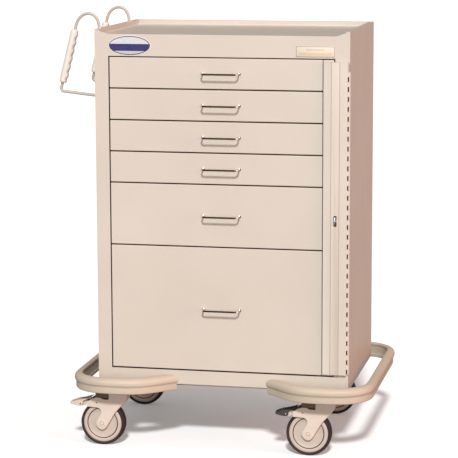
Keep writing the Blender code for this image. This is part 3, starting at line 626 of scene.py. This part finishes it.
place(join("hinge_fixed_leaf", [paint(leaf_strip, "bar")] + [paint(b, "bar") for b in leaf_bits] + screws),
      "cabinet", None, ("hinge_leaf",))
pin = lathe("hinge_rod", [(0, BAR_LOW - 0.0), (0.8, BAR_LOW), (1.15, BAR_LOW + 0.5), (1.15, BAR_HIGH - 0.5), (0.8, BAR_HIGH),
                          (0, BAR_HIGH)], (PIN_X, PIN_Y, 0), "Z", 16, False)
place(pin, "cabinet", "steel", ("hinge_pin",))

# Seal staple, a stamped eye with rounded shoulders.
sx = SLOT_X
outer = [(-0.3, -11), (-12.4, -11), (-15.4, -7), (-15.4, 7), (-12.4, 11), (-0.3, 11)]
staple = poly("staple", outer, -1.0, 1.0, "YZ")
eye = lathe("eye", [(0, -5), (2.4, -5), (2.4, 5), (0, 5)], (0, -11.0, 0), "X", 28, False)
combine(staple, [eye])
foot = block("foot", -6.9, 6.9, -0.6, 0.9, -3.0, 3.0)
combine(staple, [foot], "UNION")
staple.data.transform(Matrix.Translation((sx, 0, SLOT_Z)))
rounded(staple, 0.4, 2, 50)
place(staple, "cabinet", "zinc", ("seal_staple",))

# ---- badge and label plate -----------------------------------------------------------
BX, BZ, BA, BB = -242.0, 1067.6, 55.0, 24.5


def oval(a, b, x, z, steps=72):
    return [(x + a * math.cos(2 * math.pi * k / steps), z + b * math.sin(2 * math.pi * k / steps)) for k in range(steps)]


halo = paint(poly("badge_halo", oval(BA + 1.6, BB + 1.6, BX, BZ), -0.45, -0.02), "badge_halo")
rim = paint(poly("badge_rim", oval(BA, BB, BX, BZ), -1.05, -0.2), "badge_rim")
field = poly("badge_field", oval(BA - 2.2, BB - 2.2, BX, BZ), -1.35, -0.5)
bm = bmesh.new()
bm.from_mesh(field.data)
band_top, band_low = BZ + BB - 0.415 * 2 * BB, BZ + BB - 0.79 * 2 * BB
for level in (band_top, band_low):
    bmesh.ops.bisect_plane(bm, geom=bm.verts[:] + bm.edges[:] + bm.faces[:], plane_co=(0, 0, level), plane_no=(0, 0, 1))
for mat in ("badge_top", "badge_band", "badge_low"):
    field.data.materials.append(M[mat])
for face in bm.faces:
    zc = face.calc_center_median().z
    face.material_index = 0 if zc > band_top else (1 if zc > band_low else 2)
# a low dome
for v in bm.verts:
    if v.co.y < -1.0:
        k = max(0.0, 1 - ((v.co.x - BX) / BA) ** 2 - ((v.co.z - BZ) / BB) ** 2)
        v.co.y -= 0.5 * math.sqrt(k)
bm.to_mesh(field.data)
bm.free()
place(join("badge_plate", [halo, rim, field]), "cabinet", weighted=False)

lx0, lx1, ly0, ly1, lz0, lz1 = room("label_plate")
card = paint(rounded(block("card", lx0, lx1, -1.0, -0.1, lz0, lz1), 0.35, 2), "label")
bits = [card]
for a0, a1, c0, c1 in ((lx0 + 0.6, lx1 - 0.6, lz1 - 1.9, lz1 - 0.8), (lx0 + 0.6, lx1 - 0.6, lz0 + 0.8, lz0 + 1.9),
                       (lx0 + 0.6, lx0 + 1.7, lz0 + 0.8, lz1 - 0.8), (lx1 - 1.7, lx1 - 0.6, lz0 + 0.8, lz1 - 0.8)):
    bits.append(paint(block("line", a0, a1, -1.08, -0.5, c0, c1), "label_line"))
mid = (lx0 + lx1) / 2
for a0, a1, c0, c1, key in ((mid - 24, mid + 24, lz1 - 11.0, lz1 - 6.4, "label_tint"),
                            (lx0 + 7, lx1 - 7, lz0 + 5.0, lz0 + 13.5, "label_tint")):
    bits.append(paint(rounded(block("panel", a0, a1, -1.07, -0.5, c0, c1), 0.3, 2), key))
place(join("label_card_plate", bits), "cabinet", None, ("label_plate",), weighted=False)

# ---- push handles --------------------------------------------------------------------
grip_low, grip_high = Vector((-433.6, 0, 966.0)), Vector((-398.0, 0, 1105.0))
lean = (grip_high - grip_low).normalized()
across = Vector((lean.z, 0, -lean.x))
for tag in ("front", "rear"):
    box = room(f"push_rod_{tag}")
    y = (box[2] + box[3]) / 2
    base = [(-HALF_W - 0.2, 0, 932.0), (-441.6, 0, 943.5)]
    corner = turned_corners([base[0], base[1], tuple(grip_low)], (9,), 10)
    top = grip_high + lean * 12
    end = Vector((-332.4, 0, RIM - 0.4))
    control_a, control_b = top + lean * 42, end + Vector((0, 0, 52))
    bend = []
    for k in range(41):
        t = k / 40
        bend.append(top * (1 - t) ** 3 + control_a * 3 * t * (1 - t) ** 2 + control_b * 3 * t * t * (1 - t) + end * t ** 3)
    path = [p + Vector((0, y, 0)) for p in corner[:-1] + [grip_low + lean * 4, grip_high - lean * 4] + bend]
    bits = [tube("rod", path, 3.85, 24)]
    bits.append(lathe("flange", [(3.4, -2.6), (4.8, -2.5), (7.0, -1.6), (8.4, -0.4), (8.5, 0.1), (3.4, 0.1)],
                      (-HALF_W, y, 932.0), "X", 32))
    bits.append(lathe("boss", [(3.4, 2.4), (4.9, 2.2), (5.6, 0.9), (5.8, 0.02), (3.4, 0.02)], (-332.4 + 2.0, y, RIM), "Z", 28))
    place(join(f"handle_rod_{tag}", bits), "cabinet", "rod", (f"push_rod_{tag}",), angle=50)
    # Grip: finger waves towards the cabinet, plain outside, tapered collars.
    rings, around = 150, 40
    length = (grip_high - grip_low).length
    bm = bmesh.new()
    loops = []
    for k in range(rings + 1):
        t = k / rings
        ends = min(t, 1 - t) * length
        shape = min(1.0, ends / 5.5)
        full = 0.60 + 0.40 * math.sqrt(max(0.0, 1 - (1 - shape) ** 2))
        wave = 1.35 * math.cos(2 * math.pi * t * 6.5 + 0.6) * min(1.0, ends / 9.0)
        centre = grip_low + (grip_high - grip_low) * t
        loop = []
        for j in range(around):
            a = 2 * math.pi * j / around
            c, s = math.cos(a), math.sin(a)
            half_x = (10.0 + (wave * c if c > 0 else 0)) * full
            p = centre + across * (c * half_x) + Vector((0, s * 11.6 * full, 0))
            loop.append(bm.verts.new(p + Vector((0, y, 0))))
        loops.append(loop)
    # the end faces dish in to the rod
    for order, loop_end, sign in ((0, loops[0], 1), (1, loops[-1], -1)):
        centre = (grip_low if order == 0 else grip_high) + Vector((0, y, 0))
        inner_loop = [bm.verts.new(centre + (v.co - centre) * 0.70 + lean * (sign * -0.5)) for v in loop_end]
        hole = [bm.verts.new(centre + (v.co - centre).normalized() * 4.05 + lean * (sign * 1.6)) for v in loop_end]
        loops = ([hole, inner_loop] + loops) if order == 0 else (loops + [inner_loop, hole])
    for a, b in zip(loops, loops[1:]):
        for j in range(around):
            bm.faces.new((a[j], a[(j + 1) % around], b[(j + 1) % around], b[j]))
    bm.faces.new(list(reversed(loops[0])))
    bm.faces.new(loops[-1])
    grip = link_mesh(f"handle_grip_{tag}", bm)
    place(grip, "cabinet", "grip", (f"grip_{tag}",), angle=50, weighted=False)

# ---- bumpers -------------------------------------------------------------------------
B = room("bumper_right")
TOP, LOW = B[5], B[4]
section = [(0.0, LOW + 2.2), (0.9, LOW + 0.5), (2.6, LOW), (14.2, LOW), (16.0, LOW + 0.9), (17.0, LOW + 3.0), (17.0, 166.0),
           (17.0, 171.6), (17.25, 173.4), (17.9, 175.0), (19.1, 176.7), (20.4, 178.6), (20.8, 181.0), (20.85, 184.0),
           (20.6, 187.0), (19.4, 189.9), (17.3, 192.5), (14.2, 194.7), (10.4, 196.2), (7.0, 196.9), (4.0, TOP), (2.0, TOP - 0.5),
           (0.5, TOP - 1.8), (0.0, TOP - 4.0), (0.0, 190.6), (0.5, 189.8), (1.7, 189.2), (1.7, 166.4), (0.5, 165.6), (0.0, 164.4)]
front_half = [(144.0, -0.4), (149.4, -1.9), (154.7, -6.2), (161.8, -12.7), (168.0, -19.0), (173.7, -24.7), (180.2, -30.6),
              (186.9, -36.5), (193.6, -41.9), (199.8, -46.6), (205.8, -50.5), (211.6, -53.8), (218.0, -56.7), (224.8, -59.0),
              (232.0, -60.8), (240.1, -62.1), (250.4, -63.0), (262.5, -63.5), (276.1, -63.6), (289.5, -63.5), (300.4, -63.0),
              (309.8, -62.1), (319.0, -60.6), (327.3, -58.7), (335.1, -56.0), (342.2, -52.9), (349.0, -48.9), (355.3, -44.3),
              (360.9, -39.3), (365.8, -33.8), (370.1, -27.8), (373.9, -21.1), (377.1, -14.2), (379.7, -7.2), (381.5, 0.7),
              (382.9, 9.9), (383.6, 20.2), (384.0, 32.3), (384.0, 60.0)]
path = front_half + [(x, DEPTH - yy) for x, yy in reversed(front_half)]
for s, tag in ((-1, "left"), (1, "right")):
    bm = bmesh.new()
    loops = []
    for k, (x, yy) in enumerate(path):
        here = Vector((x, yy))
        if k == 0 or k == len(path) - 1:
            normal, stretch = Vector((-1.0, 0.0)), 1.25
        else:
            t1 = (here - Vector(path[k - 1])).normalized()
            t2 = (Vector(path[k + 1]) - here).normalized()
            run = (t1 + t2).normalized()
            normal = Vector((run.y, -run.x))
            stretch = 1.0 / max(0.5, normal.dot(Vector((t1.y, -t1.x))))
        loops.append([bm.verts.new((s * (here.x + normal.x * out * stretch), here.y + normal.y * out * stretch, up))
                      for out, up in section])
    n = len(section)
    for a, b in zip(loops, loops[1:]):
        for j in range(n):
            bm.faces.new((a[j], a[(j + 1) % n], b[(j + 1) % n], b[j]))
    bm.faces.new(loops[0])
    bm.faces.new(list(reversed(loops[-1])))
    place(link_mesh(f"bumper_rail_{tag}", bm), "cabinet", "bumper", (f"bumper_{tag}",), angle=42,
          weighted=True)

# ---- casters -------------------------------------------------------------------------
leg = [(25, 151.5), (25, 129), (18.5, 119), (5, 104.5), (-8, 90), (-15, 78), (-25.5, 60),
       (-32, 49), (-38, 43.4), (-44, 41.6), (-51, 43.2), (-58, 49), (-62, 57), (-61, 65),
       (-54.7, 75), (-48, 87), (-47.5, 94), (-51, 100), (-57, 102.4)]
brake_arm = [(-92, 104), (-104, 103.4), (-109.5, 106), (-110.6, 110), (-108, 114), (-92, 117.6), (-79, 121.5), (-74, 127)]
plain_end = [(-74, 104), (-84, 108), (-88, 115), (-82, 123), (-70, 129)]
top_run = [(-60, 131.5), (-48, 131.5), (-40, 127), (-25, 127), (-25, 151.5)]


def refine(points, passes=2, keep=()):
    """Corner-cutting on an outline, leaving the points numbered in keep where they are."""
    held = [i in keep for i in range(len(points))]
    for _ in range(passes):
        out, flags = [], []
        n = len(points)
        for i in range(n):
            a, b = Vector(points[i - 1]), Vector(points[i])
            c = Vector(points[(i + 1) % n])
            if held[i]:
                out.append(tuple(b)); flags.append(True)
            else:
                out.append(tuple(b.lerp(a, 0.22))); flags.append(False)
                out.append(tuple(b.lerp(c, 0.22))); flags.append(False)
        points, held = out, flags
    return points


for tag in ("fl", "fr", "rl", "rr"):
    mount = room(f"caster_{tag}_mount")
    x, y = (mount[0] + mount[1]) / 2, (mount[2] + mount[3]) / 2
    wheel = room(f"caster_{tag}_hub")
    wx, wy, wz = (wheel[0] + wheel[1]) / 2, (wheel[2] + wheel[3]) / 2, (wheel[4] + wheel[5]) / 2
    braked = tag[0] == "f"
    out_y = (room(f"caster_{tag}_fork")[3] - room(f"caster_{tag}_fork")[2]) / 2
    shape = leg + (brake_arm if braked else plain_end) + top_run
    n = len(shape)
    keep = {0, n - 1, n - 2}
    fine = refine(shape, 2, keep)
    fork = poly(f"caster_{tag}_housing", [(x + a, b) for a, b in fine], y - out_y, y + out_y)
    rounded(fork, 3.2, 4, 60)
    cuts = [lathe("well", [(0, -17.6), (65.5, -17.6), (65.5, 17.6), (0, 17.6)], (wx, y, wz), "Y", 96, False),
            block("under", wx - 70, x + 40, y - 17.6, y + 17.6, 0, 96),
            lathe("bore", [(0, -40), (5.3, -40), (5.3, 40), (0, 40)], (wx, y, wz), "Y", 40, False),
            lathe("king", [(0, 134.7), (6.3, 134.7), (6.3, 170), (0, 170)], (x, y, 0), "Z", 40, False)]
    if braked:
        for s in (-1, 1):
            low, high = sorted((y + s * 8.0, y + s * 30.0))
            cuts.append(block("nose", x - 130, x - 84, low, high, 90, 140))
    # cut the arm, then paint its upper top faces dark brown: painted shade under the bumper
    combine(fork, cuts)
    paint(fork, "caster")
    fork.data.materials.append(M["painted_arm_shade"])
    for face in fork.data.polygons:
        if face.normal.z > 0.6 and face.center.z > 119 and face.center.x < x - 22:
            face.material_index = 1
    bits = [fork]
    for s in (-1, 1):
        bits.append(paint(lathe("stud", [(0, s * 0.9), (1.1, s * 0.8), (1.7, s * 0.3), (1.8, -s * 0.5), (0, -s * 0.5)],
                                (x - 58, y + s * out_y, 116.5), "Y", 20, False), "hole"))
        bits.append(paint(lathe("collar", [(12.6, s * -0.6), (12.6, s * 0.15), (12.0, s * 0.55), (6.0, s * 0.75), (5.5, s * 0.2),
                                           (5.5, s * -0.6)], (wx, y + s * out_y, wz), "Y", 48), "caster"))
    skirt = lathe("skirt", [(25.4, 142.5), (27.2, 143.6), (28.0, 146.0), (28.0, 150.4), (27.0, 151.3), (8, 151.3), (8, 142.5)], (x, y, 0), "Z", 64)
    bits.append(paint(skirt, "caster"))
    # A dark brown block beside the swivel under the mounting plate: painted shade, set where there is only shade.
    bits.append(paint(rounded(block("painted_shade_block", x - 62, x - 1.5, y - 19.0, y + 19.0, 128.5, 149.6), 2.5, 2), "painted_arm_shade"))
    place(join(f"caster_{tag}_body", bits), f"caster_{tag}", None, (f"caster_{tag}_fork",), angle=42)
    axle = lathe(f"caster_{tag}_bolt", [(0, -out_y - 1.5), (3.4, -out_y - 1.5), (4.6, -out_y - 1.0), (4.9, -out_y - 0.2), (4.9, out_y + 0.2),
                                        (4.6, out_y + 1.0), (3.4, out_y + 1.5), (0, out_y + 1.5)], (wx, y, wz), "Y", 32, False)
    place(axle, f"caster_{tag}", "caster", (f"caster_{tag}_axle",))
    # Mount: plate with four bolts, race and kingpin.
    plate = rounded(block("plate", x - 32, x + 32, y - 32, y + 32, 154.2, 158.0), 1.2, 2)
    bits = [plate, lathe("race", [(0, 151.9), (20, 151.9), (29, 152.4), (29.6, 153.4), (29.6, 154.6), (0, 154.6)], (x, y, 0), "Z", 56, False),
            lathe("kingpin", [(0, 135), (5.4, 135), (5.9, 136), (5.9, 154.5), (0, 154.5)], (x, y, 0), "Z", 32, False)]
    for dx in (-25.5, 25.5):
        for dy in (-25.5, 25.5):
            bits.append(lathe("bolt", [(0, 151.6), (3.2, 151.6), (3.8, 152.2), (3.8, 154.3), (0, 154.3)], (x + dx, y + dy, 0), "Z", 6, False))
    place(join(f"caster_{tag}_plate", bits), "cabinet", "zinc", (f"caster_{tag}_mount",))
    # Wheel: disc hub with a ring groove on each face, and a crowned tyre.
    hub_profile = [(5.4, 14.6), (9.5, 15.0), (11.0, 14.4), (12.6, 13.4), (16.0, 13.1), (30.0, 13.1), (36.5, 13.5), (38.2, 14.3), (39.5, 14.2),
                   (39.9, 12.2), (41.9, 12.2), (42.3, 14.4), (43.2, 14.9), (48.6, 15.0), (50.9, 14.2), (52.0, 12.6)]
    hub_section = hub_profile + [(r, -h) for r, h in reversed(hub_profile)]
    hub = lathe(f"caster_{tag}_disc", hub_section, (wx, wy, wz), "Y", 96)
    place(hub, f"wheel_{tag}", "hub", (f"caster_{tag}_hub",), angle=60, weighted=False)
    # a near-black ring laid in the hub groove: painted shade in the groove
    groove = lathe(f"caster_{tag}_groove", [(39.95, 12.9), (41.85, 12.9), (41.85, -12.9), (39.95, -12.9)], (wx, wy, wz), "Y", 96)
    place(groove, f"wheel_{tag}", "hole")
    tyre_half = [(52.25, 13.0), (53.6, 14.6), (55.6, 15.4), (57.4, 15.1), (58.6, 13.7), (59.3, 11.4), (59.75, 7.5), (59.95, 3.6)]
    tyre = lathe(f"caster_{tag}_tread", tyre_half + [(60.0, 0.0)] + [(r, -h) for r, h in reversed(tyre_half)], (wx, wy, wz), "Y", 96)
    place(tyre, f"wheel_{tag}", "tyre", (f"caster_{tag}_tyre",), angle=60, weighted=False)

# Brake pedals: a toothed tread over two cheeks that straddle the arm's nose.
for tag, key, slot in (("fl", "caster", "caster_plastic"), ("fr", "pedal_dark", "pedal_black")):
    mount = room(f"caster_{tag}_mount")
    px, py = (mount[0] + mount[1]) / 2 - 104.6, (mount[2] + mount[3]) / 2
    pz = 109.7
    lower = [(-28.0, 3.6), (-26.6, -1.6), (-20.0, -3.4), (-7.0, -5.6), (-3.0, -6.2), (2.5, -6.0), (6.0, -2.0),
             (6.6, 3.0), (8.0, 8.6), (25.0, 15.5)]
    top_line = [(29.6, 20.6), (8.0, 13.8), (-10.0, 10.4), (-28.0, 3.6)]
    teeth = []
    for (xa, za), (xb, zb), count in ((top_line[0], top_line[1], 5), (top_line[1], top_line[2], 4), (top_line[2], top_line[3], 4)):
        for k in range(count):
            for f, d in ((0.0, -1.9), (0.28, 0.0), (0.60, 0.0), (0.85, -2.1)):
                t = (k + f) / count
                teeth.append((xa + (xb - xa) * t, za + (zb - za) * t + d))
    pedal = poly(f"pedal_{tag}_tread", [(px + a, pz + b) for a, b in lower + teeth], py - 15, py + 15)
    cuts = [block("straddle", px - 9, px + 14, py - 8.6, py + 8.6, pz - 12, pz + 7.6),
            block("tail", px + 19.8, px + 40, py - 20, py + 20, pz - 12, pz + 10.0)]
    combine(pedal, cuts)
    rounded(pedal, 0.6, 2, 40)
    bits = [paint(pedal, key)]
    for s in (-1, 1):
        bits.append(paint(lathe("rivet", [(0, s * 0.5), (1.3, s * 0.45), (2.0, s * 0.1), (2.0, -s * 0.6), (0, -s * 0.6)],
                                (px, py + s * 15, pz), "Y", 20, False), "hole" if tag == "fl" else "zinc"))
    place(join(f"pedal_{tag}_foot", bits), f"pedal_{tag}", None, (f"pedal_{tag}",))

# ---- fastenings on the back and under the cabinet --------------------------------------
bits = []
for s in (-1, 1):
    for k in range(7):
        bits.append(lathe("rivet", [(0, 1.0), (1.6, 0.9), (2.9, 0.35), (3.2, -0.2), (0, -0.2)],
                          (s * (HALF_W - 14), DEPTH, TOE + 25 + k * 140), "Y", 20, False))
place(join("back_rivets", bits), "cabinet", "cabinet")

# Chassis: two long channels on the casters' plates, joined by two cross channels.
_, _, c_front, c_back, c_low, c_high = room("chassis")
rail = [(0, 46), (244, 46), (244, c_front), (314, c_front), (314, 46)]
edge = [(-a, b) for a, b in reversed(rail)] + rail[1:]
base = poly("chassis_rails", edge + [(a, DEPTH - b) for a, b in reversed(edge)], c_low, c_high, "XY")
cuts = [block("middle", -236, 236, 96, DEPTH - 96, 140, 180)]
for s in (-1, 1):
    a, b = sorted((s * 238.5, s * 311.5))
    cuts.append(block("long", a, b, c_front + 2.5, c_back - 2.5, c_low + 3.5, c_high + 4))
cuts += [block("cross", -238.6, 238.6, a, b, c_low + 3.5, c_high + 4) for a, b in ((48.5, 93.5), (DEPTH - 93.5, DEPTH - 48.5))]
combine(base, cuts)
rounded(base, 0.5, 2, 50)
welds = [lathe("weld", [(0, -0.55), (2.4, -0.4), (3.6, 0.1), (3.6, 0.4), (0, 0.4)], (s * 275 + dx, yy, c_low), "Z", 14, False)
         for s in (-1, 1) for dx in (-18, 18) for yy in (72, 132, DEPTH - 132, DEPTH - 72)]
# The chassis gets the darker beige: painted shade under the cart.
place(join("chassis_frame", [base] + welds), "cabinet", "under", ("chassis",))

# ---- CAD nodes that stay ---------------------------------------------------------------
for name, key in (("bottom_pan", "inner"), ("runner_rack_left", "zinc"), ("runner_rack_right", "zinc")):
    obj = nodes[name]
    obj.data.materials.clear()
    obj.data.materials.append(M[key])
for obj in nodes.values():
    if obj.hide_render:
        continue
    if not obj.data.materials or obj.data.materials[0] not in list(M.values()):
        print("CAD node without a new material:", obj.name)

# ---- stage -----------------------------------------------------------------------------
bm = bmesh.new()
bmesh.ops.create_grid(bm, x_segments=1, y_segments=1, size=60.0)
floor = link_mesh("floor", bm)
mat, tree, shader = graph("floor_pale")
shader.inputs["Base Color"].default_value = (1.0, 1.0, 1.0, 1)
shader.inputs["Roughness"].default_value = 1.0
shader.inputs["Specular IOR Level"].default_value = 0.0
shader.inputs["Emission Color"].default_value = (1, 1, 1, 1)
shader.inputs["Emission Strength"].default_value = FLOOR_GLOW
bounce = tree.nodes.new("ShaderNodeBsdfDiffuse")
bounce.inputs["Color"].default_value = (0.38, 0.365, 0.35, 1)
seen = tree.nodes.new("ShaderNodeLightPath")
swap = tree.nodes.new("ShaderNodeMixShader")
tree.links.new(seen.outputs["Is Camera Ray"], swap.inputs["Fac"])
tree.links.new(bounce.outputs["BSDF"], swap.inputs[1])
tree.links.new(shader.outputs["BSDF"], swap.inputs[2])
tree.links.new(swap.outputs["Shader"], tree.nodes["Material Output"].inputs["Surface"])
floor.data.materials.append(mat)

world = bpy.data.worlds.new("studio")
scene.world = world
world.use_nodes = True
wt = world.node_tree
background = wt.nodes["Background"]
background.inputs["Color"].default_value = (1.0, 0.99, 0.98, 1)
background.inputs["Strength"].default_value = WORLD
white = wt.nodes.new("ShaderNodeBackground")
white.inputs["Color"].default_value = (1, 1, 1, 1)
white.inputs["Strength"].default_value = 1.1
ray = wt.nodes.new("ShaderNodeLightPath")
mix = wt.nodes.new("ShaderNodeMixShader")
wt.links.new(ray.outputs["Is Camera Ray"], mix.inputs["Fac"])
wt.links.new(background.outputs["Background"], mix.inputs[1])
wt.links.new(white.outputs["Background"], mix.inputs[2])
wt.links.new(mix.outputs["Shader"], wt.nodes["World Output"].inputs["Surface"])


def sun(name, azimuth, elevation, strength, angle, colour=(1, 1, 1)):
    """A far soft light. Azimuth 0 shines along +Y, and a larger one comes from further to the right."""
    data = bpy.data.lights.new(name, "SUN")
    data.energy, data.angle, data.color = strength, math.radians(angle), colour
    obj = bpy.data.objects.new(name, data)
    scene.collection.objects.link(obj)
    a, e = math.radians(azimuth), math.radians(elevation)
    towards = Vector((-math.sin(a) * math.cos(e), math.cos(a) * math.cos(e), -math.sin(e)))
    obj.rotation_euler = towards.to_track_quat("-Z", "Y").to_euler()
    return obj


sun("key", 11, 38, KEY, 6.0)
sun("low_front", -6, 5, LOW_FRONT, 25.0)
sun("right_fill", 76, 9, SIDE, 40.0, (1.0, 0.54, 0.44))

# ---- camera ----------------------------------------------------------------------------
yaw, pitch, roll = math.radians(11.964), math.radians(9.348), math.radians(-0.183)
fwd = Vector((-math.sin(yaw) * math.cos(pitch), math.cos(yaw) * math.cos(pitch), -math.sin(pitch)))
right = Vector((math.cos(yaw), math.sin(yaw), 0.0))
up = right.cross(fwd)
r = right * math.cos(roll) + up * math.sin(roll)
u = up * math.cos(roll) - right * math.sin(roll)
cam_data = bpy.data.cameras.new("camera")
cam_data.sensor_width, cam_data.lens = 36.0, 2031.46 / 458 * 36.0
cam_data.clip_end = 200
cam = bpy.data.objects.new("camera", cam_data)
scene.collection.objects.link(cam)
cam.matrix_world = Matrix(((r.x, u.x, -fwd.x, 1.10326 + CX), (r.y, u.y, -fwd.y, -5.11018 + FY), (r.z, u.z, -fwd.z, 1.45295), (0, 0, 0, 1)))
scene.camera = cam
scene.view_settings.view_transform = "Standard"
